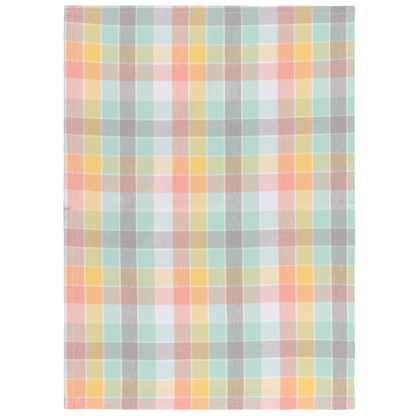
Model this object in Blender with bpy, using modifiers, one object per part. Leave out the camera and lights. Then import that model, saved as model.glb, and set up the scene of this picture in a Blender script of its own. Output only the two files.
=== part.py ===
"""Tea towel, laid out flat with its face up.

One length of plain-weave cotton: the top, the bottom and the left side are turned under twice and
sewn, and the right side is the cloth's own selvedge. A turned hem lies under the cloth, so the face
stands higher there and comes down to the surface a little way inside the hem. +Y is the top of the
towel, +X its selvedge side, and the underside rests on z = 0.
"""

import math

import bmesh
import bpy
import numpy as np

# Driving sizes, in metres.
WIDTH = 0.509  # side hem to selvedge
LENGTH = 0.706  # bottom hem to top hem
CLOTH = 0.0010  # the single cloth
FOLD = 0.0009  # what the two layers of one turned hem add under it
HEM_DEPTHS = {"left": 0.016, "top": 0.014, "bottom": 0.016}  # the right side has no hem
HEM_STEP = 0.0015  # run of the step at a hem's inner fold
SETTLE = 0.028  # run over which the cloth comes down from a hem to the surface
CORNER_CUT = 0.003  # length of side that a corner's rounding takes up
CORNER_PULL = 0.001  # how far the corner itself is drawn in, each way
EDGE_ROUND = 0.0004  # radius of the folded and woven edges
EDGE_STEPS = 2
CELL = 0.0165  # spacing of the grid on the open cloth

# The middle fold, pressed out of the cloth but for a low crease. It runs a little uphill.
CREASE_AT_HEM = -0.0024  # height on the towel at the left side, from its middle
CREASE_AT_SELVEDGE = 0.0081
CREASE_REACH = 0.011  # how far the crease lifts the cloth on either side
CREASE_BEND = 0.120  # how far from the crease the grid's rows still follow it
CREASE_RISE = (  # distance from the left side, height of the crease
    (0.000, 0.0009),
    (0.030, 0.0004),
    (0.080, 0.0002),
    (0.450, 0.0002),
    (0.490, 0.0004),
    (0.509, 0.0007),
)

# Unevenness of the four sides: side, place along it from its middle, reach, how far out of line.
EDGE_WAVES = (
    ("left", 0.270, 0.035, -0.0005),
    ("left", 0.130, 0.080, 0.0002),
    ("left", 0.012, 0.026, 0.0012),
    ("left", -0.025, 0.025, 0.0005),
    ("left", -0.190, 0.060, -0.0006),
    ("right", 0.349, 0.020, 0.0007),
    ("right", 0.160, 0.110, -0.0004),
    ("right", -0.020, 0.090, 0.0004),
    ("right", -0.145, 0.045, -0.0003),
    ("right", -0.240, 0.045, 0.0005),
    ("right", -0.302, 0.018, -0.0009),
    ("right", -0.345, 0.025, 0.0009),
    ("top", -0.250, 0.025, 0.0005),
    ("top", -0.137, 0.040, 0.0003),
    ("top", -0.085, 0.030, -0.0005),
    ("top", 0.045, 0.030, 0.0003),
    ("top", 0.096, 0.040, -0.0011),
    ("top", 0.170, 0.050, 0.0002),
    ("bottom", -0.208, 0.055, -0.0010),
    ("bottom", -0.020, 0.080, 0.0005),
    ("bottom", 0.127, 0.025, 0.0005),
    ("bottom", 0.157, 0.022, -0.0008),
    ("bottom", 0.217, 0.038, 0.0006),
)

# Soft swells where the cloth stands a little off the surface: middle, reach each way, height.
SWELLS = (
    (-0.130, 0.110, 0.105, 0.100, 0.0008),
    (0.150, 0.200, 0.090, 0.115, 0.0006),
    (-0.075, -0.215, 0.130, 0.100, 0.0007),
    (0.165, -0.130, 0.075, 0.120, 0.0006),
)

COLOUR = (0.66, 0.56, 0.47, 1.0)  # the check's mean colour, linear
ROUGHNESS = 0.9


def clear_scene():
    """Remove every object that the scene starts with."""
    for obj in list(bpy.data.objects):
        bpy.data.objects.remove(obj, do_unlink=True)


def bell(t):
    """A smooth bump: 1 at 0, and exactly 0 from 1 outwards."""
    return 0.5 * (1.0 + math.cos(math.pi * t)) if abs(t) < 1.0 else 0.0


def fall(t):
    """A smooth way down: 1 up to 0, and 0 from 1 on."""
    return 0.5 * (1.0 + math.cos(math.pi * min(max(t, 0.0), 1.0)))


def hem_places(depth):
    """Distances from a hemmed side at which the section changes, the last one on the open cloth."""
    foot = depth + HEM_STEP
    return [0.0, CORNER_CUT, depth] + [foot + SETTLE * part / 4 for part in range(5)]


def even_places(start, end):
    """Evenly spaced places strictly between two others, about a cell apart."""
    cells = max(1, round((end - start) / CELL))
    return [start + (end - start) * step / cells for step in range(1, cells)]


def column_places():
    """Distances of the grid's columns from the left side."""
    left = hem_places(HEM_DEPTHS["left"])
    right = [WIDTH - CORNER_CUT, WIDTH]
    return left + even_places(left[-1], right[0]) + right


def row_places():
    """Distances of the grid's rows from the bottom side, with rows on and beside the crease."""
    low = hem_places(HEM_DEPTHS["bottom"])
    high = [LENGTH - place for place in reversed(hem_places(HEM_DEPTHS["top"]))]
    middle = LENGTH / 2
    crease = [middle + CREASE_REACH * part for part in (-1.0, -0.5, 0.0, 0.5, 1.0)]
    return low + even_places(low[-1], crease[0]) + crease + even_places(crease[-1], high[0]) + high


def wave(side, place):
    """How far a side lies outside its straight line, at a place along it from its middle."""
    return sum(out * bell((place - at) / reach) for name, at, reach, out in EDGE_WAVES if name == side)


def crease_line(across):
    """Height on the towel of the middle fold, from the middle."""
    return CREASE_AT_HEM + (CREASE_AT_SELVEDGE - CREASE_AT_HEM) * across / WIDTH


def place_on_plan(across, along):
    """Where a point of the even grid lies seen from above."""
    right_share = across / WIDTH
    top_share = along / LENGTH
    x = across - WIDTH / 2
    y = along - LENGTH / 2
    from_crease = y / CREASE_BEND
    out_x = right_share * wave("right", y) - (1 - right_share) * wave("left", y)
    out_y = top_share * wave("top", x) - (1 - top_share) * wave("bottom", x)
    out_y += crease_line(across) * bell(from_crease)
    if across in (0.0, WIDTH) and along in (0.0, LENGTH):
        out_x -= math.copysign(CORNER_PULL, x)
        out_y -= math.copysign(CORNER_PULL, y)
    return x + out_x, y + out_y


def hem_gaps(across, along):
    """Distance from each hemmed side, with that hem's depth."""
    gaps = {"left": across, "top": LENGTH - along, "bottom": along}
    return [(gaps[side], depth) for side, depth in HEM_DEPTHS.items()]


def folds_under(across, along):
    """How many turned hems lie under a point: none on the open cloth, two at a hemmed corner."""
    return sum(1.0 - min(max((gap - depth) / HEM_STEP, 0.0), 1.0) for gap, depth in hem_gaps(across, along))


def face_height(across, along):
    """Height of the towel's face: the cloth, the hems that hold it up, the crease and the swells."""
    raised = sum(fall((gap - depth - HEM_STEP) / SETTLE) for gap, depth in hem_gaps(across, along))
    x, y = across - WIDTH / 2, along - LENGTH / 2
    distances, rises = zip(*CREASE_RISE)
    crest = max(0.0, 1.0 - abs(y) / CREASE_REACH) ** 2
    crease = float(np.interp(across, distances, rises)) * crest
    swell = sum(
        height * bell((x - at_x) / reach_x) * bell((y - at_y) / reach_y)
        for at_x, at_y, reach_x, reach_y, height in SWELLS
    )
    return CLOTH + FOLD * raised + crease + swell


def face_mesh():
    """The towel's face as one open grid, and the share of hem folds under each of its points."""
    columns, rows = column_places(), row_places()
    mesh = bpy.data.meshes.new("towel")
    grid = bmesh.new()
    bmesh.ops.create_grid(grid, x_segments=len(columns) - 1, y_segments=len(rows) - 1, size=0.5)
    grid.verts.index_update()
    folds = []
    for vert in grid.verts:
        across = columns[round((vert.co.x + 0.5) * (len(columns) - 1))]
        along = rows[round((vert.co.y + 0.5) * (len(rows) - 1))]
        x, y = place_on_plan(across, along)
        vert.co = (x, y, face_height(across, along))
        folds.append(folds_under(across, along))
    low = np.min([vert.co[:2] for vert in grid.verts], axis=0)
    high = np.max([vert.co[:2] for vert in grid.verts], axis=0)
    middle = (low + high) / 2
    bmesh.ops.translate(grid, verts=grid.verts, vec=(-middle[0], -middle[1], 0.0))
    grid.to_mesh(mesh)
    grid.free()
    return mesh, folds


def cotton():
    """Matt woven cotton in the check's mean colour."""
    material = bpy.data.materials.new("cotton")
    material.use_nodes = True
    shader = material.node_tree.nodes["Principled BSDF"]
    shader.inputs["Base Color"].default_value = COLOUR
    shader.inputs["Roughness"].default_value = ROUGHNESS
    shader.inputs["Metallic"].default_value = 0.0
    return material


def make_towel(collection):
    """The towel: its face, given its thickness downwards, thicker where hems are turned under."""
    mesh, folds = face_mesh()
    towel = bpy.data.objects.new("towel", mesh)
    collection.objects.link(towel)
    mesh.materials.append(cotton())
    most_folds = max(folds)
    group = towel.vertex_groups.new(name="hem folds")
    for index, share in enumerate(folds):
        group.add([index], share / most_folds, "REPLACE")

    layers = towel.modifiers.new("Layers", "SOLIDIFY")
    layers.thickness = CLOTH + most_folds * FOLD
    layers.offset = -1.0
    layers.vertex_group = group.name
    layers.thickness_vertex_group = CLOTH / layers.thickness

    edges = towel.modifiers.new("Soft edges", "BEVEL")
    edges.width = EDGE_ROUND
    edges.segments = EDGE_STEPS
    edges.limit_method = "ANGLE"
    edges.angle_limit = math.radians(50)
    mesh.shade_smooth()
    return towel


def main():
    clear_scene()
    collection = bpy.data.collections.new("Tea towel")
    bpy.context.scene.collection.children.link(collection)
    make_towel(collection)


if __name__ == "__main__":
    main()
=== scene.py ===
"""Tea towel in a soft multicolour check, laid out flat with its face up.

Run as a script, it dresses the packed towel: the plain-weave cloth with its hems turned under
twice, the selvedge's weft loops, the hem stitches, and a plain stage. Sizes are in metres, and
tables of thousandths are in millimetres. +Y is the top of the towel, +X its selvedge side, and
the towel lies on z = 0.
"""

import itertools
import math
import random

import bpy
import mathutils
import numpy as np
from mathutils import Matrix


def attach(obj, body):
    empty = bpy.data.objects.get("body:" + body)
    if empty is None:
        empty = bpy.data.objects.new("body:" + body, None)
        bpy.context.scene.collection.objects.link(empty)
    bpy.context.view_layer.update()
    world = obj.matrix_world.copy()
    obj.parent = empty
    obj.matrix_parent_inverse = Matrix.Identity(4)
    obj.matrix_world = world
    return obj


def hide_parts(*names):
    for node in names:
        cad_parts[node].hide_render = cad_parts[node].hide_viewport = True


bl_info = {
    "name": "Checked tea towel",
    "version": (1, 0, 0),
    "blender": (4, 5, 0),
    "location": "View3D > Sidebar > Tea towel",
    "description": "Makes a flat, hemmed tea towel in a woven check, with its stitches and a stage",
    "category": "Object",
}

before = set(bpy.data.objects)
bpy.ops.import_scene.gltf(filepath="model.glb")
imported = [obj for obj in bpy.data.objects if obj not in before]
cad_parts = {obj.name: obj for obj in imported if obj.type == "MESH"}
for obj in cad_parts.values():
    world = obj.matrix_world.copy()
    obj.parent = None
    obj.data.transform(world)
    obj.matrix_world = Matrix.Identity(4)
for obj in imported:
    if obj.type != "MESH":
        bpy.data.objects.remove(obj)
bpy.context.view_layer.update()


def thousandths(*rows):
    """A table written in thousandths, such as millimetres, as an array in whole units."""
    return np.array(rows) / 1000.0


# ---------------------------------------------------------------- the towel as it lies

# Unevenness of the four sides: place along the side from its middle, reach, how far out of line.
EDGE_WAVES = {
    "left": thousandths(
        (335, 36, -1.8), (270, 35, -0.5), (200, 70, -0.5), (130, 60, -0.4), (68, 28, -0.6),
        (20, 120, -0.2), (18, 16, -0.3), (0, 10, -0.3), (-45, 40, -0.3), (-80, 50, -0.5),
        (-105, 50, -0.2), (-190, 60, -0.6), (-255, 34, -0.4), (-327, 17, -1.5), (-345, 18, -1.3),
    ),
    "right": thousandths(
        (349, 20, 0.7), (160, 110, -0.4), (-20, 90, 0.4), (-65, 50, 0.3), (-145, 45, -0.3),
        (-240, 45, 0.5), (-302, 22, -1.2), (-351, 14, 0.7),
    ),
    "top": thousandths(
        (-250, 25, 0.3), (-137, 40, 0.3), (-85, 30, 0.2), (92, 42, -0.9), (212, 45, -0.8),
    ),
    "bottom": thousandths(
        (-208, 55, -1.0), (-190, 30, 0.3), (-80, 30, 0.3), (-20, 80, 0.2), (0, 500, 0.7),
        (100, 25, 0.4), (127, 25, 0.5), (157, 22, -0.4), (190, 30, 0.2), (217, 38, 0.6),
    ),
}
OUTLINE_STEPS = 400  # places along each side at which its unevenness is read for the towel's box
CORNER_PULL = 0.0005  # how far a corner is drawn in, each way
CORNER_REACH = 0.0050

# Soft swells where the cloth stands a little off the surface: middle, reach each way, height.
SWELLS = thousandths(
    (-130, 110, 105, 100, 0.8),
    (150, 200, 90, 115, 0.6),
    (-75, -215, 130, 100, 0.7),
    (165, -130, 75, 120, 0.6),
)

# The middle fold, pressed out but for a low crease with a sharper pinch at its two ends.
CREASE_AT_HEM = -0.0024
CREASE_AT_SELVEDGE = 0.0081
CREASE_REACH = 0.011
CREASE_BEND = 0.120  # how far from the crease the cloth still follows its slope
CREASE_RISE = thousandths(  # distance from the left side, height of the crease, height of the pinch
    (0, 0.9, 0.5), (14, 0.7, 0.4), (30, 0.4, 0), (80, 0.3, 0), (125, 0.4, 0), (220, 0.4, 0),
    (300, 0.2, 0), (450, 0.2, 0), (490, 0.4, 0), (500, 0.6, 0.2), (509, 0.7, 0.3),
)
PINCH_REACH = 0.0022

# Soft folds that storing pressed into the cloth: x and y of the crest from the
# towel's middle, reach of its steep flank, on the upper left, reach of the other flank, height.
FOLDS = {
    "slanting": thousandths(
        (38, 322, 35, 42, 0), (33, 294, 35, 42, 1.1), (22, 260, 37, 38, 1.9),
        (13, 224, 30, 42, 1.75), (-4, 186, 38, 38, 1.7), (-30, 152, 37, 45, 1.6),
        (-65, 110, 38, 45, 1.45), (-86, 74, 37, 42, 1.2), (-113, 28, 26, 21, 0.8),
        (-125, 1, 21, 21, 0),
    ),
    "middle": thousandths(
        (43, 8, 21, 35, 0), (15, 5, 21, 38, 0.7), (-16, 2, 23, 42, 0.9), (-51, 0, 26, 44, 1.0),
        (-78, -3, 35, 44, 1.2), (-99, -13, 45, 42, 2.1), (-111, -32, 47, 38, 2.1),
        (-120, -55, 47, 35, 1.6), (-125, -77, 45, 28, 1.0), (-123, -102, 35, 26, 0.6),
        (-118, -126, 28, 28, 0.4), (-114, -149, 25, 32, 0.7), (-109, -170, 25, 32, 0.6),
        (-104, -196, 25, 32, 0),
    ),
    "toe of the middle fold": thousandths(
        (-120, 15, 16, 28, 0), (-127, 5, 18, 32, 1.0), (-137, -11, 19, 35, 1.3),
        (-148, -32, 19, 35, 0.8), (-158, -53, 19, 32, 1.3), (-162, -67, 19, 28, 0.9),
        (-162, -84, 18, 25, 0),
    ),
}
CREST_STEPS = 6  # steps of a crest's smooth line between two of its places

# Painted shade where the middle fold and its crease ends lie in shadow, placed in the same way: the
# last value is how much darker the colour is painted there, in thousandths.
PAINTED_FOLD_SHADE = {
    "in the side hem": thousandths(
        (-258, -2, 3, 3.4, 280), (-246, -2.2, 3, 3.4, 240), (-240.5, -2.4, 2.6, 2.8, 0),
    ),
    "below that along the side": thousandths(
        (-256, -4, 13, 13, 180), (-256, -16, 13, 13, 140), (-256, -40, 11, 11, 0),
    ),
    "in the selvedge": thousandths(
        (245, 8.8, 2.4, 2.6, 0), (250, 8.7, 2.6, 2.8, 110), (258, 8.7, 2.8, 3, 130),
    ),
    "over its toe": thousandths(
        (-150, 20, 30, 35, 0), (-145, -5, 42, 40, 28), (-135, -35, 45, 40, 30),
        (-128, -75, 40, 35, 24), (-125, -120, 30, 30, 14), (-123, -180, 30, 30, 14),
        (-122, -220, 30, 30, 0),
    ),
    "beside its toe": thousandths(
        (-215, 15, 40, 40, 0), (-195, -10, 42, 42, 12), (-185, -55, 42, 42, 16),
        (-183, -100, 42, 42, 12), (-183, -140, 40, 40, 0),
    ),
}

# Ripples: wavelength, direction in degrees, height, phase.
RIPPLES = (
    (0.083, 24, 0.00005, 0.4),
    (0.061, 118, 0.00004, 2.1),
    (0.047, 71, 0.00003, 4.0),
    (0.036, 152, 0.00002, 1.3),
)
SELVEDGE_RIPPLE = 0.00030  # the selvedge is a little longer than the cloth, so it ripples
SELVEDGE_WAVE = 0.074
SELVEDGE_SWAY = (1.5, 0.110)  # how far its waves wander, in radians, and over what length
SELVEDGE_REACH = 0.030
PUCKER = 0.00005  # what the hem stitches draw up
PUCKER_WAVE = 0.0135
PUCKER_SWAY = (2.0, 0.037)
PUCKER_FROM_EDGE = 0.0125
PUCKER_REACH = 0.022

# ---------------------------------------------------------------- how the weave lies in the towel

# How far the weft lies above its straight line, by height on the towel: height, at the left side,
# at the right side, how much of the right side's rise turns back, everywhere, left of the middle.
WEFT_RISE = thousandths(
    (352, 0, 4.0, 0, 1.2, 0), (317, 9.0, 7.5, 1.0, -0.6, 0.5),
    (285, 7.5, 8.0, -2.0, 0, 0.5), (253, 6.3, 7.7, -1.5, 0.1, -0.2),
    (222, 6.0, 6.5, -1.0, 0.4, 0), (187, 5.5, 8.0, 0, 0, 0),
    (156, 5.5, 8.3, 0.8, -0.4, -0.6), (123, 5.5, 8.5, 1.5, 0.2, -0.5),
    (90, 5.0, 10.5, 3.5, 0.3, 0), (58, 5.2, 10.0, 3.5, -0.1, -0.6),
    (27, 7.0, 8.5, 4.0, -0.4, 0.3), (-8, 6.0, 8.5, 4.0, 0, 0.2),
    (-72, 4.5, 10.0, 5.5, -0.6, -0.3), (-105, 4.5, 9.5, 6.0, 0, -0.5),
    (-137, 3.0, 10.5, 8.0, -0.8, -0.5), (-168, 2.0, 10.5, 7.5, -1.2, -0.5),
    (-202, 1.0, 9.5, 8.0, 0, -1.0), (-299, 0, 9.5, 8.5, 0, -1.5),
    (-331, 0, 3.5, 1.0, -0.1, 0), (-353, 0, 0, 0, 0, 0),
)
SAG_AT = -0.100  # left of the middle, some of the weft sags or stands over this reach
SAG_REACH = 0.080
LEFT_RISE_FROM = -0.104
LEFT_RISE_POWER = 2.2
RIGHT_RISE_FROM = -0.008
RIGHT_TURN_FROM = 0.132
RIGHT_RISE_POWER = 1.5
RISE_LIMIT = 1.1  # a rise goes on as far as this beyond the straight side
STRAIGHT_HALF = 0.2545  # half the width of the towel, and its length, where its sides are straight
STRAIGHT_LENGTH = 0.7060

# How far the warp lies to the right of its straight line, by height on the towel.
WARP_DRIFT = thousandths(
    (353, -0.2), (270, -0.5), (140, 0), (42, 0.3), (-20, 0.7), (-90, 1.5), (-155, 2.4),
    (-220, 3.6), (-285, 4.1), (-320, 4.3), (-345, 3.5),
)
DRIFT_EDGE = 0.035  # the warp is held straight by the side hem and the selvedge, over this width
DRIFT_AT_EDGE = 0.15  # share of the drift that is left there
# Where single yarns of the warp are drawn aside: place across the towel, how far to the right.
WARP_PULL = thousandths(
    (-254.5, -1.0), (-249, -0.7), (-220, -0.2), (-190, -0.2), (-158, -0.1), (-127, -0.5),
    (-98, -0.3), (-35, -0.4), (-4, -0.6), (26, -0.2), (57, 0.1), (87, -0.5), (120, -0.2),
    (150, 0), (211, -0.3), (242, -0.5), (254.5, -1.0),
)
# Height on the towel, how much further the side hem draws the warp to the right there.
HEM_DRAW = thousandths(
    (336, 0.3), (300, -0.6), (238, -0.6), (206, 0), (180, -0.5), (150, -0.1), (125, 0.4),
    (98, 1.4), (70, 2.1), (50, 1.7), (14, 1.6), (-23, 0.8), (-55, 0), (-161, -0.5),
    (-214, -0.3), (-251, -0.6), (-310, 0), (-325, 1.3), (-345, 1.2),
)
HEM_DRAW_REACH = 0.022
SELVEDGE_DRAW = thousandths(  # the same for the selvedge
    (322, -0.8), (280, -0.3), (240, 0), (-100, 0), (-150, -0.9), (-185, 0), (-235, -0.2),
    (-265, -1.3), (-295, -1.6), (-325, -2.4),
)
SELVEDGE_DRAW_REACH = 0.045
TOP_DRAW = thousandths(  # place across the towel, how far to the right the top hem draws the warp
    (-220, 0.3), (-130, 0.6), (-35, 0.7), (0, -0.2), (26, -0.9), (57, -1.3), (87, -1.3),
    (120, -0.6), (180, 0),
)
TOP_DRAW_REACH = 0.030


def bell(t):
    """A smooth bump: 1 at 0, and 0 from 1 outwards."""
    return np.where(np.abs(t) < 1.0, 0.5 * (1.0 + np.cos(np.pi * np.clip(t, -1.0, 1.0))), 0.0)


def fall(t):
    """A smooth way down: 1 up to 0, and 0 from 1 on."""
    return 0.5 * (1.0 + np.cos(np.pi * np.clip(t, 0.0, 1.0)))


def read_column(table, column, at):
    """A column of a table, read at places given by its first column and joined by straight lines."""
    rows = table[np.argsort(table[:, 0])]
    return np.interp(at, rows[:, 0], rows[:, column])


def side_wave(side, place):
    """How far a side lies outside its straight line, at a place along it from its middle."""
    return sum(height * bell((place - at) / reach) for at, reach, height in EDGE_WAVES[side])


def plan_shift(sizes, across, along):
    """How far a point of the even towel lies from its even place, seen from above."""
    x = across - sizes.width / 2
    y = along - sizes.length / 2
    right_share = across / sizes.width
    top_share = along / sizes.length
    out_x = right_share * side_wave("right", y) - (1 - right_share) * side_wave("left", y)
    out_y = top_share * side_wave("top", x) - (1 - top_share) * side_wave("bottom", x)
    crease = CREASE_AT_HEM + (CREASE_AT_SELVEDGE - CREASE_AT_HEM) * across / sizes.width
    out_y += crease * bell(y / CREASE_BEND)
    from_side = sizes.width / 2 - np.abs(x)
    from_end = sizes.length / 2 - np.abs(y)
    pull = CORNER_PULL * bell(from_side / CORNER_REACH) * bell(from_end / CORNER_REACH)
    return out_x - np.sign(x) * pull, out_y - np.sign(y) * pull


def plan_middle(sizes):
    """Middle of the box around the towel's uneven outline."""
    steps = np.linspace(0.0, 1.0, OUTLINE_STEPS)
    across, along = steps * sizes.width, steps * sizes.length
    zero = np.zeros_like(steps)
    left = plan_shift(sizes, zero, along)[0].min() - sizes.width / 2
    right = plan_shift(sizes, zero + sizes.width, along)[0].max() + sizes.width / 2
    low = plan_shift(sizes, across, zero)[1].min() - sizes.length / 2
    high = plan_shift(sizes, across, zero + sizes.length)[1].max() + sizes.length / 2
    return (left + right) / 2, (low + high) / 2


def crest_line(places):
    """A smooth curve through the places of a fold's crest, with its reaches and height."""
    first, last = 2 * places[:1] - places[1:2], 2 * places[-1:] - places[-2:-1]
    table = np.concatenate([first, places, last])
    step = np.arange(CREST_STEPS)[:, None] / CREST_STEPS
    parts = []
    for before, start, end, after in zip(table, table[1:], table[2:], table[3:]):
        slope, bend, turn = end - before, 2 * before - 5 * start + 4 * end - after, after - before
        parts.append(start + (slope * step + bend * step**2 + (turn + 3 * (start - end)) * step**3) / 2)
    return np.concatenate(parts + [table[-2:-1]])


def fold_lift(places, x, y):
    """How far one soft fold lifts the cloth, measured square to its crest."""
    nearest = np.full(np.shape(x), np.inf)
    lift = np.zeros(np.shape(x))
    crest = crest_line(places)
    for start, end in zip(crest, crest[1:]):
        run_x, run_y = end[:2] - start[:2]
        share = ((x - start[0]) * run_x + (y - start[1]) * run_y) / (run_x**2 + run_y**2)
        share = np.clip(share, 0.0, 1.0)
        aside_x, aside_y = x - start[0] - share * run_x, y - start[1] - share * run_y
        gap = np.hypot(aside_x, aside_y)
        steep, gentle, height = (start[part] + share * (end[part] - start[part]) for part in (2, 3, 4))
        reach = np.where(run_x * aside_y < run_y * aside_x, steep, gentle)
        closer = gap < nearest
        lift = np.where(closer, height * bell(gap / reach), lift)
        nearest = np.where(closer, gap, nearest)
    return lift


def wandering_wave(place, length, sway):
    """A sine whose crests are unevenly spaced."""
    turn, run = sway
    return np.sin(2 * np.pi * place / length + turn * np.sin(place / run))


def unevenness(sizes, across, along):
    """How far the cloth is lifted off its even height: creases, swells, ripples and puckers."""
    x = across - sizes.width / 2
    y = along - sizes.length / 2
    crest = np.clip(1.0 - np.abs(y) / CREASE_REACH, 0.0, 1.0) ** 2
    pinch = np.clip(1.0 - np.abs(y) / PINCH_REACH, 0.0, 1.0)
    lift = read_column(CREASE_RISE, 1, across) * crest + read_column(CREASE_RISE, 2, across) * pinch
    for at_x, at_y, reach_x, reach_y, height in SWELLS:
        lift = lift + height * bell((x - at_x) / reach_x) * bell((y - at_y) / reach_y)
    for places in FOLDS.values():
        lift = lift + fold_lift(places, x, y)
    for length, degrees, height, phase in RIPPLES:
        turn = math.radians(degrees)
        run = (x * math.cos(turn) + y * math.sin(turn)) / length
        lift = lift + height * (1.0 + np.sin(2 * np.pi * run + phase))
    near = bell((sizes.width - across) / SELVEDGE_REACH)
    ripple = 0.5 + 0.5 * wandering_wave(y, SELVEDGE_WAVE, SELVEDGE_SWAY)
    lift = lift + SELVEDGE_RIPPLE * near * ripple
    for gap, place in ((across, y), (along, x), (sizes.length - along, x)):
        draw = bell((gap - PUCKER_FROM_EDGE) / PUCKER_REACH)
        lift = lift + PUCKER * draw * (1.0 + wandering_wave(place, PUCKER_WAVE, PUCKER_SWAY))
    return lift


def rise_share(x, start, side):
    """How far a point is on its way from the start of a rise to the straight side."""
    return np.clip((x - start) / (side - start), 0.0, RISE_LIMIT)


def weft_rise(x, y):
    """How far the weft lies above its straight line."""
    left, right, turn, everywhere, sag = (read_column(WEFT_RISE, column, y) for column in range(1, 6))
    return (
        left * rise_share(x, LEFT_RISE_FROM, -STRAIGHT_HALF) ** LEFT_RISE_POWER
        + right * rise_share(x, RIGHT_RISE_FROM, STRAIGHT_HALF) ** RIGHT_RISE_POWER
        - turn * rise_share(x, RIGHT_TURN_FROM, STRAIGHT_HALF) ** RIGHT_RISE_POWER
        + everywhere
        + sag * bell((x - SAG_AT) / SAG_REACH)
    )


def warp_drift(x, y):
    """How far the warp lies to the right of its straight line."""
    inside = 1.0 - fall((STRAIGHT_HALF - np.abs(x)) / DRIFT_EDGE)
    share = DRIFT_AT_EDGE + (1.0 - DRIFT_AT_EDGE) * inside
    drift = read_column(WARP_DRIFT, 1, y) * share + read_column(WARP_PULL, 1, x)
    draws = (
        (HEM_DRAW, y, x + STRAIGHT_HALF, HEM_DRAW_REACH),
        (SELVEDGE_DRAW, y, STRAIGHT_HALF - x, SELVEDGE_DRAW_REACH),
        (TOP_DRAW, x, STRAIGHT_LENGTH / 2 - y, TOP_DRAW_REACH),
    )
    return drift + sum(read_column(table, 1, at) * fall(gap / reach) for table, at, gap, reach in draws)


def painted_shade_at(x, y):
    """How much shade is painted into the cloth's colour along the middle fold."""
    return sum(fold_lift(places, x, y) for places in PAINTED_FOLD_SHADE.values())


# ---------------------------------------------------------------- turning the hems under

# The seams' paths on the face: place along the seam, distance from the edge that it follows.
SEAM_PATHS = {
    "top": thousandths(
        (0, 10.3), (25, 10.7), (50, 11.8), (105, 12.1), (128, 13.0), (140, 13.0), (165, 11.5),
        (200, 11.5), (235, 12.0), (257, 12.5), (280, 11.9), (327, 12.4), (380, 13.5), (400, 13.9),
        (432, 12.9), (460, 13.9), (485, 13.2), (509, 11.8),
    ),
    "bottom": thousandths(
        (0, 13.9), (50, 13.5), (78, 13.1), (108, 14.0), (145, 13.8), (178, 14.3), (213, 14.1),
        (245, 13.6), (280, 14.6), (320, 14.3), (360, 13.2), (388, 13.9), (410, 13.5), (440, 14.5),
        (470, 13.8), (495, 15.3), (509, 15.6),
    ),
    "side": thousandths(
        (0, 13.5), (50, 14.7), (87, 16.4), (108, 17.1), (136, 15.8), (170, 15.2), (200, 16.3),
        (227, 15.0), (283, 14.1), (350, 13.8), (367, 14.6), (400, 14.0), (454, 13.3), (535, 13.2),
        (556, 13.8), (647, 13.6), (706, 12.8),
    ),
}
SEAM_REACH = 0.0022  # how far a seam draws the layers together on either side
SEAM_MARGIN = 0.0022  # what a hem reaches beyond its seam at least
PRESS_RUN = 0.010  # run over which the side hem is pressed thinner towards an end hem
# Place along the side hem from the bottom, thickness that pressing leaves it, in thousandths.
SIDE_PRESS = thousandths((0, 400), (200, 400), (250, 1000))

HALF_STACK = 1.5  # half of a turned hem's three layers
UNDER_FACE = 2.0  # its layers under the face
RAW_EDGE, INNER_FOLD, UNDERSIDE, OUTER_FOLD, FACE = -4.0, -3.0, -2.0, -1.0, 0.0
# The parts of a turned hem, from the raw edge out: where each starts, its steps.
HEM_STATIONS = ((RAW_EDGE, 3), (INNER_FOLD, 5), (UNDERSIDE, 5), (OUTER_FOLD, 8))
FACE_ROWS = (0.0, 0.0016, 0.0040, 0.0064)  # rows between a hem's outer fold and its seam
SETTLE_STEPS = 8
SELVEDGE_ROWS = (0.0066, 0.0040, 0.0020, 0.0008, 0.0)  # distances of rows from the selvedge
CREASE_ROWS = (0.0110, 0.0075, 0.0050, 0.0034, 0.0022, 0.0012, 0.0004)  # and from the crease


def turn_under(station, height, depth, tuck, pitch):
    """Where a point of the cloth comes to lie once its edge is turned under twice.

    A station below 0 says how far round the hem the point is: the tucked raw edge, the inner fold,
    the underside and the outer fold are one unit each. From 0 up it is metres along the face.
    Height is the point's height in the layer that is folded, which is one pitch thick.
    Returns the distance in from the outer edge, the height, and the distance along the cloth.
    """
    outer = np.pi * pitch  # lengths of the outer fold, the underside and the inner fold
    run = depth - (HALF_STACK + 1.0) * pitch
    inner = np.pi * pitch / 2
    start = HALF_STACK * pitch  # middle of the outer fold's round
    end = depth - pitch  # middle of the inner fold's round
    round_out = np.pi * (np.clip(station, OUTER_FOLD, FACE) + 0.5)
    round_in = np.pi * (UNDERSIDE - np.clip(station, INNER_FOLD, UNDERSIDE))
    reach = 0.5 * pitch + height
    parts = (  # which points are in a part, then their three values there
        (station >= FACE, start + station, UNDER_FACE * pitch + height, outer / 2 + station),
        (
            station >= OUTER_FOLD,
            start - reach * np.cos(round_out),
            start + reach * np.sin(round_out),
            outer * (station - OUTER_FOLD - 0.5),
        ),
        (
            station >= UNDERSIDE,
            start + run * (OUTER_FOLD - station),
            pitch - height,
            -outer / 2 - run * (OUTER_FOLD - station),
        ),
        (
            station >= INNER_FOLD,
            end + height * np.sin(round_in),
            pitch - height * np.cos(round_in),
            -outer / 2 - run - inner * (UNDERSIDE - station),
        ),
        (
            station < INNER_FOLD,
            end - tuck * (INNER_FOLD - station),
            pitch + height,
            -outer / 2 - run - inner - tuck * (INNER_FOLD - station),
        ),
    )
    within, *results = (list(column) for column in zip(*parts))
    return [np.select(within, result) for result in results]


def seam_line(name, place):
    """Distance of a seam from its edge, at a place along it."""
    return read_column(SEAM_PATHS[name], 1, place)


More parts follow.
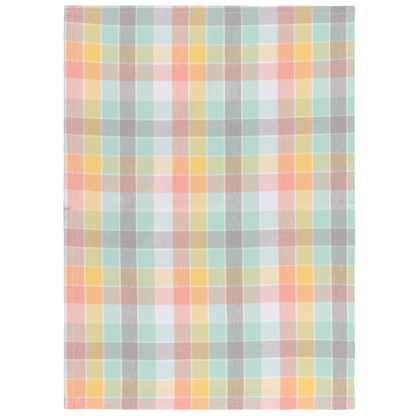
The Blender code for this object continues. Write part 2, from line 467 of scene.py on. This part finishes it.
def lay_hem(sizes, station, height, pitch, depth, tuck, seam, settle):
    """A hem's turn, of layers one pitch thick that are drawn together along its seam.

    Returns the distance in from its side, the height, the distance along the cloth, and how much
    of the hem's height the face keeps.
    """
    turned = depth + tuck
    depth = np.maximum(depth, seam + SEAM_MARGIN)
    inward, level, flat = turn_under(station, height, depth, turned - depth, pitch)
    held = fall((inward - depth - sizes.layer_gap) / settle)
    level = np.where(station >= FACE, level - UNDER_FACE * pitch * (1.0 - held), level)
    middle = HALF_STACK * pitch
    pinch = np.where(level < middle, sizes.under_pinch, sizes.seam_pinch)
    sewn = middle + (level - middle) * (1.0 - pinch * bell((inward - seam) / SEAM_REACH))
    return inward, np.where(inward < depth + SEAM_REACH, sewn, level), flat, held


def lay_cloth(sizes, across_station, from_bottom, end_station, height):
    """Where points of the flat cloth lie in the finished towel.

    across_station and end_station are stations as turn_under reads them, from the left side and
    from the nearer end; from_bottom says which end that is. Height is the height in the cloth.
    Returns x, y, z and the two weave coordinates, across the warp and across the weft.
    """
    pitch = sizes.pitch
    depth = np.where(from_bottom, sizes.bottom_hem, sizes.top_hem)
    tuck = np.where(from_bottom, sizes.bottom_tuck, sizes.top_tuck)
    from_end = np.maximum(end_station, 0.0)
    near_end = fall((from_end - depth) / PRESS_RUN)
    near_place = np.where(from_bottom, from_end, sizes.length - from_end)
    seam, settle = seam_line("side", near_place), sizes.settle
    side_settle = settle + (sizes.pressed_settle - settle) * near_end
    across, stack, flat_across, held = lay_hem(
        sizes, across_station, height, pitch, sizes.side_hem, sizes.side_tuck, seam, side_settle
    )
    pressed = read_column(SIDE_PRESS, 1, near_place)
    pressed = pressed + (sizes.corner_press - pressed) * near_end
    press = 1.0 - (1.0 - pressed) * held
    stack_pitch = (pitch + UNDER_FACE * pitch * held) * press  # an end hem folds the side's stack
    seam = np.where(from_bottom, seam_line("bottom", across), seam_line("top", across))
    from_end, z, flat_end, _ = lay_hem(
        sizes, end_station, stack * press, stack_pitch, depth, tuck, seam, settle
    )
    along = np.where(from_bottom, from_end, sizes.length - from_end)
    flat_along = np.where(from_bottom, flat_end, sizes.length - flat_end)
    shift_x, shift_y = plan_shift(sizes, across, along)
    middle_x, middle_y = plan_middle(sizes)
    shift_x, shift_y = shift_x - middle_x, shift_y - middle_y
    z = z + unevenness(sizes, across, along) - press * sizes.layer_gap / 2
    x = across - sizes.width / 2 + shift_x
    y = along - sizes.length / 2 + shift_y
    warp = flat_across - sizes.width / 2 + shift_x - warp_drift(x, y)
    weft = flat_along - sizes.length / 2 + shift_y - weft_rise(x, y)
    return x, y, z, warp, weft


def face_point(sizes, across, along):
    """Points on the towel's face from their even places, with their weave coordinates."""
    across, along = np.broadcast_arrays(np.asarray(across, float), np.asarray(along, float))
    from_bottom = along < sizes.length / 2
    from_end = np.where(from_bottom, along, sizes.length - along)
    near_side = fall((across - sizes.side_hem) / sizes.pressed_settle)
    pressed = 1.0 - (1.0 - sizes.corner_press) * near_side
    end_pitch = (sizes.pitch + UNDER_FACE * sizes.pitch * near_side) * pressed
    side_station = np.maximum(across - sizes.fold_radius, 0.0)
    end_station = np.maximum(from_end - HALF_STACK * end_pitch, 0.0)
    top = np.full_like(across, sizes.layer_gap / 2 + sizes.thickness)
    return lay_cloth(sizes, side_station, from_bottom, end_station, top)


def even_rows(start, end, cell):
    """Evenly spaced places strictly between two others."""
    steps = max(1, math.ceil((end - start) / cell))
    return [start + (end - start) * step / steps for step in range(1, steps)]


def hem_rows(sizes, depth, name):
    """Stations across a hem and down to the open cloth."""
    rows = [start + step / steps for start, steps in HEM_STATIONS for step in range(steps)]
    insets = SEAM_PATHS[name][:, 1]
    first, last = insets.min() - SEAM_REACH, insets.max() + SEAM_REACH
    rows += [*FACE_ROWS, first, *even_rows(first, last, SEAM_REACH / 2)]
    start = max(depth, last)
    return rows + [start + sizes.settle * step / SETTLE_STEPS for step in range(SETTLE_STEPS + 1)]


def stations(sizes, depth, name, last, backs):
    """Stations from a tucked raw edge to a last one, with rows at given distances before it."""
    hem = hem_rows(sizes, depth, name)
    close = [last - sizes.fold_radius - back for back in backs]
    return np.array(hem + even_rows(hem[-1], close[0], sizes.cell) + close)


# ---------------------------------------------------------------- meshes and materials

SHARP_EDGE = math.radians(60)


def new_piece(name, points, faces, material, attributes):
    """A smooth mesh object from its points and faces, with vectors stored on its points."""
    mesh = bpy.data.meshes.new(name)
    mesh.from_pydata(points.tolist(), [], faces)
    mesh.update()
    mesh.shade_smooth()
    mesh.set_sharp_from_angle(angle=SHARP_EDGE)
    for key, values in attributes.items():
        layer = mesh.attributes.new(key, "FLOAT_VECTOR", "POINT")
        layer.data.foreach_set("vector", np.asarray(values, np.float32).ravel())
    mesh.materials.append(material)
    piece = bpy.data.objects.new(name, mesh)
    bpy.context.scene.collection.objects.link(piece)
    return piece


def slab_faces(columns, rows):
    """Faces of a closed slab: an upper and a lower grid of points, joined round their rim."""
    count = columns * rows
    corner = np.arange(count).reshape(rows, columns)
    a, b = corner[:-1, :-1].ravel(), corner[:-1, 1:].ravel()
    c, d = corner[1:, 1:].ravel(), corner[1:, :-1].ravel()
    upper = np.stack([a, b, c, d], axis=1)
    lower = np.stack([a, d, c, b], axis=1) + count
    rim = np.concatenate([corner[0, :], corner[1:, -1], corner[-1, -2::-1], corner[-2:0:-1, 0]])
    following = np.roll(rim, -1)
    walls = np.stack([rim, rim + count, following + count, following], axis=1)
    return np.concatenate([upper, lower, walls]).tolist()


def tube(path, radius, sides):
    """Points, faces and round coordinates of a thread along a path, with its ends closed."""
    ahead = np.gradient(path, axis=0)
    ahead /= np.linalg.norm(ahead, axis=1)[:, None]
    across = np.cross([0.0, 0.0, 1.0], ahead)
    across /= np.linalg.norm(across, axis=1)[:, None]
    up = np.cross(ahead, across)
    turns = 2 * np.pi * np.arange(sides) / sides
    ring = across[:, None] * np.cos(turns)[:, None] + up[:, None] * np.sin(turns)[:, None]
    points = (path[:, None] + radius * ring).reshape(-1, 3)
    steps = np.concatenate([[0.0], np.cumsum(np.linalg.norm(np.diff(path, axis=0), axis=1))])
    rounds = [np.tile(np.cos(turns), len(path)), np.tile(np.sin(turns), len(path))]
    thread = np.stack([np.repeat(steps, sides), *rounds], axis=1)
    corner = np.arange(len(points)).reshape(len(path), sides)
    after = np.roll(corner, -1, axis=1)
    walls = np.stack([corner[:-1], after[:-1], after[1:], corner[1:]], axis=-1).reshape(-1, 4)
    return points, [*walls.tolist(), corner[0, ::-1].tolist(), corner[-1].tolist()], thread


def joined(tubes):
    """Several threads as one set of points, faces and round coordinates."""
    points, faces, threads, offset = [], [], [], 0
    for tube_points, tube_faces, tube_thread in tubes:
        points.append(tube_points)
        threads.append(tube_thread)
        faces += [[offset + corner for corner in face] for face in tube_faces]
        offset += len(tube_points)
    return np.concatenate(points), faces, np.concatenate(threads)


MIX_INPUTS = (0, 6, 7)  # a colour mix's sockets for the share and the two colours
MIX_OUTPUT = 2


def opaque(colour):
    """A linear colour with full alpha."""
    return (*colour, 1.0)


class Value:
    """A value in a material. Arithmetic on it adds the nodes that work it out."""

    def __init__(self, nodes, socket):
        self.nodes = nodes
        self.socket = socket

    def __add__(self, other):
        return self.nodes.math("ADD", self, other)

    def __sub__(self, other):
        return self.nodes.math("SUBTRACT", self, other)

    def __rsub__(self, other):
        return self.nodes.math("SUBTRACT", other, self)

    def __mul__(self, other):
        return self.nodes.math("MULTIPLY", self, other)

    def __truediv__(self, other):
        return self.nodes.math("DIVIDE", self, other)


class Nodes:
    """A material's nodes, added and linked by name of kind."""

    def __init__(self, name):
        self.material = bpy.data.materials.new(name)
        self.material.use_nodes = True
        self.tree = self.material.node_tree

    def link(self, value, socket):
        """Link a value to a socket, or set a constant on it."""
        if isinstance(value, Value):
            self.tree.links.new(value.socket, socket)
        else:
            socket.default_value = value

    def add(self, kind, inputs, output=0, **settings):
        """An output of a new node, with its settings made and its inputs linked or set."""
        node = self.tree.nodes.new(f"ShaderNode{kind}")
        for name, setting in settings.items():
            setattr(node, name, setting)
        for key, value in inputs.items():
            self.link(value, node.inputs[key])
        return Value(self, node.outputs[output])

    def math(self, operation, *values):
        """A math node's result."""
        return self.add("Math", dict(enumerate(values)), operation=operation)

    def vector(self, x, y, z=0.0):
        """A vector from its three values."""
        return self.add("CombineXYZ", {"X": x, "Y": y, "Z": z})

    def attribute(self, name):
        """The three values of a vector stored on the mesh."""
        stored = self.add("Attribute", {}, "Vector", attribute_name=name)
        parts = self.add("SeparateXYZ", {"Vector": stored}).socket.node.outputs
        return [Value(self, part) for part in parts]

    def noise(self, vector):
        """Soft noise around 0.5, one cell to a unit of the vector."""
        inputs = {"Vector": vector, "Scale": 1.0, "Detail": 1.0, "Roughness": 0.5}
        return self.add("TexNoise", inputs, "Fac")

    def mix(self, blend, share, one, other):
        """Two colours blended."""
        inputs = dict(zip(MIX_INPUTS, (share, one, other)))
        return self.add("Mix", inputs, MIX_OUTPUT, data_type="RGBA", blend_type=blend)

    def product(self, one, other):
        """Two colours multiplied."""
        return self.mix("MULTIPLY", 1.0, one, other)

    def choose(self, steps, colours):
        """The first of several colours, and each following one once its step is 1."""
        chosen = colours[0]
        for step, colour in zip(steps, colours[1:]):
            chosen = self.mix("MIX", step, chosen, colour)
        return chosen

    def power(self, colour, exponent):
        """A colour raised to a power."""
        return self.add("Gamma", {"Color": colour, "Gamma": exponent})

    def bump(self, height, strength, distance, **under):
        """A bump's normal, on top of another one if that is given."""
        return self.add("Bump", {"Height": height, "Strength": strength, "Distance": distance, **under})

    def finish(self, inputs):
        """The material, with its shader's inputs linked or set."""
        shader = self.tree.nodes["Principled BSDF"]
        for key, value in inputs.items():
            self.link(value, shader.inputs[key])
        return self.material


# One repeat of the check, down the towel for the weft and from right to left for the warp: yarn,
# widths of the warp's and the weft's band.
WARP, WEFT = 0, 1
BANDS = (
    ("white", (0.00260, 0.00280)),
    ("aqua", (0.02790, 0.03035)),
    ("white", (0.00260, 0.00280)),
    ("yellow", (0.02825, 0.02920)),
    ("white", (0.00260, 0.00290)),
    ("coral", (0.02830, 0.02940)),
    ("white", (0.03300, 0.03490)),
    ("aqua", (0.02865, 0.02985)),
    ("white", (0.00250, 0.00280)),
    ("grey", (0.02805, 0.02965)),
)
# How much of a mixed colour each yarn makes up, as warp and as weft.
COVER = {
    "white": (0.93, 0.90),
    "aqua": (0.945, 0.995),
    "yellow": (0.92, 0.835),
    "coral": (0.955, 1.045),
    "grey": (1.19, 1.27),
}
# How unevenly each yarn is dyed, as warp and as weft.
DYE_SPREAD = {
    "white": (0.40, 0.40),
    "aqua": (0.75, 0.90),
    "yellow": (0.60, 0.60),
    "coral": (1.20, 1.65),
    "grey": (1.00, 1.40),
}
# Cells of the yarns' unevenness in a metre: across the warp, and across the weft.
UNEVEN_YARN = {
    "speckle": (480.0, 340.0),
    "shade": (500.0, 360.0),
    "warp": (620.0, 42.0),
    "weft": (42.0, 560.0),
    "slub": (190.0, 640.0),
}
LEAST_LEAN = 0.1  # the least that the warp shows of what it would if the yarns were even
YARN_BUMP = (0.30, 0.00025)  # strength and height of the uneven yarns' relief
WEAVE_HEIGHT = 0.00012
COTTON_FINISH = {
    "Roughness": 0.92,
    "Specular IOR Level": 0.18,
    "Sheen Weight": 0.06,
    "Sheen Roughness": 0.5,
}


def cotton_material(check, name, weft_only=False):
    """Yarn-dyed plain weave: each direction's bands, mixed where they cross, with a soft relief and
    painted shade along the middle fold.
    """
    made = Nodes(name)
    warp, weft, painted_shade = made.attribute("weave")
    # Yarns mix by eye halfway between their mean and their product, so their roots are mixed.
    roots = {}
    for yarn in COVER:
        shares = (part / ground for part, ground in zip(getattr(check, yarn), check.ground))
        roots[yarn] = opaque(share**0.5 for share in shares)

    def direction(place, start, way):
        """Root colour, cover and dye spread of the yarns in one direction."""
        ends = list(itertools.accumulate(widths[way] for _, widths in BANDS))
        into = made.math("FRACT", (start - place) / ends[-1]) * ends[-1]
        steps = [made.math("GREATER_THAN", into, end) for end in ends[:-1]]
        tables = [roots]
        for table in (COVER, DYE_SPREAD):
            tables.append({yarn: opaque([pair[way]] * 3) for yarn, pair in table.items()})
        return [made.choose(steps, [table[yarn] for yarn, _ in BANDS]) for table in tables]

    warp_colour, warp_cover, warp_spread = direction(warp, check.warp_start, WARP)
    weft_colour, weft_cover, weft_spread = direction(weft, check.weft_start, WEFT)

    # One yarn to each half turn of a sine: their product says which of the two lies on top.
    over_warp = made.math("SINE", warp * (math.pi / check.warp_pitch))
    over_weft = made.math("SINE", weft * (math.pi / check.weft_pitch))

    # Yarns are spun and beaten up unevenly: streaks along each direction, and short thick places.
    uneven = {}
    for key, (across_cells, along_cells) in UNEVEN_YARN.items():
        uneven[key] = made.noise(made.vector(warp * across_cells, weft * along_cells)) - 0.5
    slub = made.math("MAXIMUM", uneven["slub"] - check.slub_from, 0.0)

    lean = uneven["speckle"] * check.speckle + uneven["warp"] * check.warp_streaks
    lean = lean - uneven["weft"] * check.weft_streaks - slub * check.slubs
    lean = lean + over_warp * over_weft * check.crossing_contrast + 1.0
    warp_part = warp_cover * made.math("MAXIMUM", lean, LEAST_LEAN) * check.warp_share
    weft_part = weft_cover * (1.0 - check.warp_share)
    share = warp_part / (warp_part + weft_part)
    root = weft_colour if weft_only else made.mix("MIX", share, weft_colour, warp_colour)

    # More dye in a yarn deepens its colour: the roots are raised to a little more than the square.
    warp_dye = (uneven["warp"] * check.dye_streaks + uneven["shade"]) * warp_spread
    weft_dye = (uneven["weft"] * check.weft_dye + uneven["shade"]) * weft_spread
    exponent = ((warp_dye + weft_dye) * check.dye_spread + 1.0) * 2.0
    colour = made.product(made.power(root, exponent), opaque(check.ground))
    # Painted shade along the middle fold darkens the colour here.
    unshaded = 1.0 - painted_shade
    colour = made.product(colour, made.vector(unshaded, unshaded, unshaded))

    # Relief: round yarns, each rising where it passes over the other.
    rounds = [made.math("SQRT", made.math("ABSOLUTE", over)) for over in (over_warp, over_weft)]
    normal = made.bump(uneven["warp"] + uneven["shade"], *YARN_BUMP)
    normal = made.bump(rounds[WARP] * rounds[WEFT], check.relief, WEAVE_HEIGHT, Normal=normal)
    return made.finish({"Base Color": colour, "Normal": normal, **COTTON_FINISH})


TWIST_BUMP = (0.5, 0.00004)  # strength and height of the sewing thread's relief
TWIST_SHADE = 0.04  # how far painted light and shade along the thread's twist make it lighter and darker
THREAD_FINISH = {"Roughness": 0.6, "Specular IOR Level": 0.3}


def thread_material(stitching):
    """Spun sewing thread: a smooth pale yarn with its twist showing, in relief and in painted light and
    shade.
    """
    made = Nodes("sewing thread")
    along, cosine, sine = made.attribute("thread")
    turn = along * (2 * math.pi / stitching.twist)
    wrap = cosine * made.math("COSINE", turn) + sine * made.math("SINE", turn)
    shade = wrap * TWIST_SHADE + (1.0 - TWIST_SHADE)
    colour = made.product(made.vector(shade, shade, shade), opaque(stitching.colour))
    return made.finish({"Base Color": colour, "Normal": made.bump(wrap, *TWIST_BUMP), **THREAD_FINISH})


# ---------------------------------------------------------------- settings


def number(name, description, default, **more):
    """A plain share or strength, or a value in a unit that is given."""
    return bpy.props.FloatProperty(name=name, description=description, default=default, **more)


def metres(name, description, default):
    """A size in metres."""
    return number(name, description, default, unit="LENGTH", precision=5)


def tint(name, description, default):
    """A linear colour."""
    return bpy.props.FloatVectorProperty(
        name=name, description=description, default=default, subtype="COLOR", min=0.0, max=1.0
    )


class TowelSizes(bpy.types.PropertyGroup):
    """Sizes of the finished towel and its hems."""

    width: metres("Width", "Side hem to selvedge, along a straight weft", 0.509)
    length: metres("Length", "Bottom hem to top hem, along a straight warp", 0.706)
    thickness: metres("Cloth", "Thickness of the single cloth", 0.0004)
    layer_gap: metres("Layer gap", "Air between two layers of a hem", 0.00008)
    side_hem: metres("Side hem", "Depth of the left side's hem", 0.0155)
    top_hem: metres("Top hem", "Depth of the top hem", 0.0140)
    bottom_hem: metres("Bottom hem", "Depth of the bottom hem", 0.0155)
    side_tuck: metres("Side tuck", "Raw edge turned into the side hem", 0.0105)
    top_tuck: metres("Top tuck", "Raw edge turned into the top hem", 0.0090)
    bottom_tuck: metres("Bottom tuck", "Raw edge turned into the bottom hem", 0.0105)
    seam_pinch: number("Seam pinch", "How far the stitches draw a hem's face down", 0.10)
    under_pinch: number("Under pinch", "How far they draw its underside up", 0.30)
    corner_press: number("Corner press", "Thickness left in a pressed corner", 0.45)
    settle: metres("Settle", "Run in which the cloth comes down from a hem", 0.026)
    pressed_settle: metres("Pressed settle", "The same within an end hem", 0.008)
    cell: metres("Cell", "Spacing of the mesh on the open cloth", 0.0036)

    @property
    def pitch(self):
        """Spacing of a hem's layers."""
        return self.thickness + self.layer_gap

    @property
    def fold_radius(self):
        """Radius of a hem's outer fold."""
        return HALF_STACK * self.pitch

    @property
    def flat(self):
        """The size that the cloth was cut to, with what is turned under."""
        width = self.width + self.side_hem + self.side_tuck
        length = self.length + self.top_hem + self.top_tuck + self.bottom_hem + self.bottom_tuck
        return width, length


class TowelCheck(bpy.types.PropertyGroup):
    """The woven check: its bands, its yarns and how they mix."""

    warp_start: metres("Warp start", "Right side of a white line left of a grey band", -0.1569)
    weft_start: metres("Weft start", "Upper side of a white line under a grey band", 0.3191)
    warp_pitch: metres("Warp pitch", "Spacing of the warp yarns", 0.00045)
    weft_pitch: metres("Weft pitch", "Spacing of the weft yarns", 0.00050)
    warp_share: number("Warp share", "How much of a mixed colour is warp", 0.60)
    crossing_contrast: number("Crossing contrast", "How far the upper yarn shows", 0.18)
    speckle: number("Speckle", "How far thick and thin places shift the mix", 1.8)
    warp_streaks: number("Warp streaks", "How far uneven warp yarns shift the mix", 1.0)
    weft_streaks: number("Weft streaks", "How far uneven weft yarns shift the mix", 0.6)
    slubs: number("Slubs", "How far thick places in the weft cover the warp", 5.0)
    slub_from: number("Slub from", "How uneven a weft yarn is where a slub begins", 0.20)
    dye_spread: number("Dye spread", "How unevenly the yarns are dyed", 0.24)
    dye_streaks: number("Dye streaks", "How far that follows each warp yarn", 1.5)
    weft_dye: number("Weft dye", "How far that follows each weft yarn", 0.6)
    relief: number("Relief", "Strength of the weave's bump", 0.35)
    ground: tint("Ground", "The colour that the dyes deepen from", (0.81, 0.71, 0.76))
    white: tint("White", "Undyed yarn", (0.707, 0.695, 0.749))
    aqua: tint("Aqua", "Aqua yarn", (0.418, 0.606, 0.545))
    yellow: tint("Yellow", "Yellow yarn", (0.808, 0.540, 0.169))
    coral: tint("Coral", "Coral yarn", (0.800, 0.356, 0.297))
    grey: tint("Grey", "Grey yarn", (0.367, 0.344, 0.347))


class TowelStitching(bpy.types.PropertyGroup):
    """The hem stitches."""

    stitch: metres("Stitch", "Length of a stitch", 0.0030)
    thread: metres("Thread", "Diameter of the sewing thread", 0.00038)
    twist: metres("Twist", "Length of one turn of the thread's twist", 0.0006)
    back_tack: metres("Back-tack", "Length sewn over again at a seam's ends", 0.0075)
    colour: tint("Thread colour", "Colour of the sewing thread", (0.79, 0.78, 0.80))


class TowelStage(bpy.types.PropertyGroup):
    """The floor, the light and the camera."""

    floor: tint("Floor", "Colour of the floor", (0.96, 0.96, 0.96))
    sky: number("Sky", "Strength of the even light", 0.30)
    key: number("Key", "Strength of the far, soft main light", 2.10)
    key_width: number("Key width", "How wide the main light looks", 0.7, unit="ROTATION")
    top_lamp: number("Top lamp", "Power of the lamp beyond the top", 6.3, unit="POWER")
    bottom_lamp: number("Bottom lamp", "Power of the lamp beyond the bottom", 8.5, unit="POWER")
    lamp_size: metres("Lamp size", "Side of the two square lamps", 0.8)
    view_width: metres("View width", "Width of the view on the floor", 0.728)
    camera_height: metres("Camera height", "Height of the camera over the towel", 2.4)
    camera_x: metres("Camera X", "Middle of the view across the towel", -0.0026)
    camera_y: metres("Camera Y", "Middle of the view along the towel", -0.0002)


# ---------------------------------------------------------------- operators


def on_towel(piece):
    """A finished piece rides on the towel's body."""
    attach(piece, "root")
    return piece


class TOWEL_OT_weave_cloth(bpy.types.Operator):
    """Weave the cloth and turn its three hems under"""

    bl_idname = "towel.weave_cloth"
    bl_label = "Weave the cloth"

    def execute(self, context):
        sizes = context.scene.towel_sizes
        columns = stations(sizes, sizes.side_hem, "side", sizes.width, SELVEDGE_ROWS)
        low, high = (
            stations(sizes, depth, name, sizes.length / 2, CREASE_ROWS)
            for depth, name in ((sizes.bottom_hem, "bottom"), (sizes.top_hem, "top"))
        )
        across, end = np.meshgrid(columns, np.concatenate([low, high[::-1]]))
        from_bottom = np.broadcast_to(np.arange(len(across))[:, None] < len(low), across.shape)
        layers, weaves = [], []
        for height in (sizes.layer_gap / 2 + sizes.thickness, sizes.layer_gap / 2):
            heights = np.full_like(across, height)
            x, y, z, warp, weft = lay_cloth(sizes, across, from_bottom, end, heights)
            layers.append(np.stack([x, y, z], axis=-1).reshape(-1, 3))
            # The weave's third value is the painted shade along the middle fold.
            weaves.append(np.stack([warp, weft, painted_shade_at(x, y)], axis=-1).reshape(-1, 3))
        faces = slab_faces(len(columns), len(across))
        material = cotton_material(context.scene.towel_check, "checked cotton")
        weave = np.concatenate(weaves)
        cloth = new_piece("cloth", np.concatenate(layers), faces, material, {"weave": weave})
        on_towel(cloth)
        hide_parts("towel")
        return {"FINISHED"}


LOOP_RADIUS = 0.36  # of the selvedge's weft, as a share of the cloth's thickness
LOOP_REACH = 0.75  # how far a loop stands out, as a share of the weft's spacing
LOOP_UNEVEN = (-0.25, 0.45)  # how much less or more single loops stand out
LOOP_POINTS = 6
LOOP_SIDES = 5
LOOP_SEED = 11


class TOWEL_OT_close_selvedge(bpy.types.Operator):
    """Close the right side with the loops in which the weft turns back"""

    bl_idname = "towel.close_selvedge"
    bl_label = "Close the selvedge"

    def execute(self, context):
        sizes, check = context.scene.towel_sizes, context.scene.towel_check
        radius = sizes.thickness * LOOP_RADIUS
        reach, half = check.weft_pitch * LOOP_REACH, check.weft_pitch / 2
        turns = np.linspace(-0.5 * math.pi, 0.5 * math.pi, LOOP_POINTS)
        start = sizes.fold_radius
        count = int((sizes.length - 2 * start) / (2 * check.weft_pitch))
        along = start + (np.arange(count) + 0.5) * 2 * check.weft_pitch
        x, y, z, warp, weft = face_point(sizes, sizes.width, along)
        draw = random.Random(LOOP_SEED)
        tubes = []
        for middle in np.stack([x, y, z - sizes.thickness / 2], axis=1):
            out = reach * (1.0 + draw.uniform(*LOOP_UNEVEN))
            loop = [out * np.cos(turns) - radius, half * np.sin(turns), np.zeros(LOOP_POINTS)]
            tubes.append(tube(middle + np.stack(loop, axis=1), radius, LOOP_SIDES))
        points, faces, _ = joined(tubes)
        # The weave's third value is the painted shade along the middle fold.
        weave = np.stack([warp, weft, painted_shade_at(x, y)], axis=1)
        weave = np.repeat(weave, LOOP_POINTS * LOOP_SIDES, axis=0)
        material = cotton_material(check, "selvedge weft", weft_only=True)
        loops = new_piece("selvedge_loops", points, faces, material, {"weave": weave})
        on_towel(loops)
        return {"FINISHED"}


SEAM_ENDS = {"top": 0.0008, "bottom": 0.0008, "side": 0.0022}  # what each seam leaves at its ends
TACKED = ("top", "bottom")
TACK_ASIDE = (-0.00028, 0.00030)  # how far each pass of a back-tack lies aside of its seam
TACK_UNEVEN = 0.001  # how much longer or shorter single back-tacks are
BACK_CLEAR = 0.0015  # gap between the side seam's back and the end hems
STITCH_SHAPE = (  # place in the stitch, how far the thread has sunk towards the needle holes
    (0.00, 1.00), (0.07, 0.45), (0.16, 0.12), (0.30, 0.00),
    (0.50, 0.00), (0.70, 0.00), (0.84, 0.12), (0.93, 0.45),
)
STITCH_STRAY = 0.00006  # how far single stitches lie out of line
STITCH_LEAN = 0.00012  # how far each stitch runs across its seam
# Height of the thread's middle over the face, or at the back over the surface that the towel lies
# on, and how much that changes where the thread sinks in, both in diameters.
THREAD_STANDS = {"front": (0.22, -1.3), "back": (0.5, 1.1)}
THREAD_SIDES = 6


class TOWEL_OT_sew_hems(bpy.types.Operator):
    """Sew the three hems down with lockstitches and back-tacks"""

    bl_idname = "towel.sew_hems"
    bl_label = "Sew the hems"

    def execute(self, context):
        scene = context.scene
        sizes, stitching = scene.towel_sizes, scene.towel_stitching
        material = thread_material(stitching)
        for name in SEAM_ENDS:
            points, faces, thread = joined(seam_threads(sizes, stitching, name))
            seam = new_piece(f"{name}_seam", points, faces, material, {"thread": thread})
            on_towel(seam)
        return {"FINISHED"}


def seam_threads(sizes, stitching, name):
    """The threads of one seam: its long run, and the passes of its back-tacks, on both faces."""
    draw = random.Random(sum(map(ord, name)))
    tack = stitching.back_tack
    start = SEAM_ENDS[name]
    end = (sizes.length if name == "side" else sizes.width) - start
    passes = [(start, end, 0.0)]
    if name in TACKED:
        for aside in TACK_ASIDE:
            passes.append((start, start + tack + draw.uniform(-TACK_UNEVEN, TACK_UNEVEN), aside))
            passes.append((end - tack + draw.uniform(-TACK_UNEVEN, TACK_UNEVEN), end, aside))
    tubes = []
    for span in passes:
        for face in THREAD_STANDS:
            path = thread_path(sizes, stitching, name, span, face, draw)
            tubes.append(tube(path, stitching.thread / 2, THREAD_SIDES))
    return tubes


def thread_path(sizes, stitching, name, span, face, draw):
    """The line of one thread: it lies on the cloth in each stitch and sinks in at the needle holes."""
    low, high, aside = span
    if face == "back" and name == "side":
        low = sizes.bottom_hem + BACK_CLEAR
        high = sizes.length - sizes.top_hem - BACK_CLEAR
    count = max(2, round((high - low) / stitching.stitch))
    step = (high - low) / count
    shares, depths = np.array(STITCH_SHAPE).T
    stray = np.array([draw.uniform(-STITCH_STRAY, STITCH_STRAY) for _ in range(count)])
    places = np.append(low + (np.arange(count)[:, None] + shares) * step, high)
    asides = np.append(aside + stray[:, None] + (shares - 0.5) * STITCH_LEAN, aside)
    sunk = np.append(np.tile(depths, count), 1.0)
    inset = seam_line(name, places) + asides
    across, along = (inset, places) if name == "side" else (places, inset)
    if name == "top":
        along = sizes.length - inset
    x, y, z, _, _ = face_point(sizes, across, along)
    if face == "back":
        z = unevenness(sizes, across, along)
    stand, sink = THREAD_STANDS[face]
    z = z + stitching.thread * stand + sunk * stitching.thread * sink
    return np.stack([x, y, z], axis=1)


FLOOR_SIDE = 12.0
FLOOR_DROP = 0.0001  # how far the floor lies under the towel
FLOOR_FINISH = {"Roughness": 1.0, "Specular IOR Level": 0.0}
WHITE = (1.0, 1.0, 1.0, 1.0)
KEY_AIM = (-0.55, 0.62, -1.0)  # the way that the main light shines
TOP_LAMP_AT = (0.0, 1.25, 0.70)
BOTTOM_LAMP_AT = (0.30, -1.25, 0.70)


def add_light(name, kind, power, aim, place=(0.0, 0.0, 0.0), **shape):
    """A light that shines along its aim."""
    data = bpy.data.lights.new(name, kind)
    data.energy = power
    for key, value in shape.items():
        setattr(data, key, value)
    light = bpy.data.objects.new(name, data)
    light.location = place
    light.rotation_euler = mathutils.Vector(aim).to_track_quat("-Z", "Y").to_euler()
    bpy.context.scene.collection.objects.link(light)


class TOWEL_OT_set_stage(bpy.types.Operator):
    """Set the floor, the soft light and the camera straight above the towel"""

    bl_idname = "towel.set_stage"
    bl_label = "Set the stage"

    def execute(self, context):
        scene, stage = context.scene, context.scene.towel_stage
        bpy.ops.mesh.primitive_plane_add(size=FLOOR_SIDE, location=(0.0, 0.0, -FLOOR_DROP))
        floor = context.object
        floor.name = "floor"
        made = Nodes("plain floor")
        floor.data.materials.append(made.finish({"Base Color": opaque(stage.floor), **FLOOR_FINISH}))

        world = bpy.data.worlds.new("soft studio")
        world.use_nodes = True
        sky = world.node_tree.nodes["Background"]
        sky.inputs["Color"].default_value = WHITE
        sky.inputs["Strength"].default_value = stage.sky
        scene.world = world
        add_light("key light", "SUN", stage.key, KEY_AIM, angle=stage.key_width)
        for name, power, place in (
            ("top lamp", stage.top_lamp, TOP_LAMP_AT),
            ("bottom lamp", stage.bottom_lamp, BOTTOM_LAMP_AT),
        ):
            add_light(name, "AREA", power, -mathutils.Vector(place), place, size=stage.lamp_size)

        camera = bpy.data.objects.new("camera", bpy.data.cameras.new("camera"))
        camera.data.lens = camera.data.sensor_width * stage.camera_height / stage.view_width
        camera.location = (stage.camera_x, stage.camera_y, stage.camera_height)
        scene.collection.objects.link(camera)
        scene.camera = camera
        scene.view_settings.view_transform = "Standard"
        return {"FINISHED"}


STEPS = (
    ("towel_sizes", TowelSizes, ()),
    ("towel_check", TowelCheck, (TOWEL_OT_weave_cloth, TOWEL_OT_close_selvedge)),
    ("towel_stitching", TowelStitching, (TOWEL_OT_sew_hems,)),
    ("towel_stage", TowelStage, (TOWEL_OT_set_stage,)),
)


class TOWEL_PT_panel(bpy.types.Panel):
    """The towel's settings and steps"""

    bl_idname = "TOWEL_PT_panel"
    bl_label = "Tea towel"
    bl_space_type = "VIEW_3D"
    bl_region_type = "UI"
    bl_category = "Tea towel"

    def draw(self, context):
        for name, group, operators in STEPS:
            box = self.layout.box()
            box.label(text=group.__doc__)
            for key in group.__annotations__:
                box.prop(getattr(context.scene, name), key)
            for operator in operators:
                box.operator(operator.bl_idname)


def register():
    """Add the classes to Blender, and the settings to its scenes."""
    for name, group, operators in STEPS:
        for added in (group, *operators):
            bpy.utils.register_class(added)
        setattr(bpy.types.Scene, name, bpy.props.PointerProperty(type=group))
    bpy.utils.register_class(TOWEL_PT_panel)


def unregister():
    """Take the settings and the classes out again."""
    bpy.utils.unregister_class(TOWEL_PT_panel)
    for name, group, operators in STEPS:
        delattr(bpy.types.Scene, name)
        for added in (*operators, group):
            bpy.utils.unregister_class(added)


def main():
    """Make the towel and its stage."""
    register()
    bpy.ops.towel.weave_cloth()
    bpy.ops.towel.close_selvedge()
    bpy.ops.towel.sew_hems()
    bpy.ops.towel.set_stage()


if __name__ == "__main__":
    main()
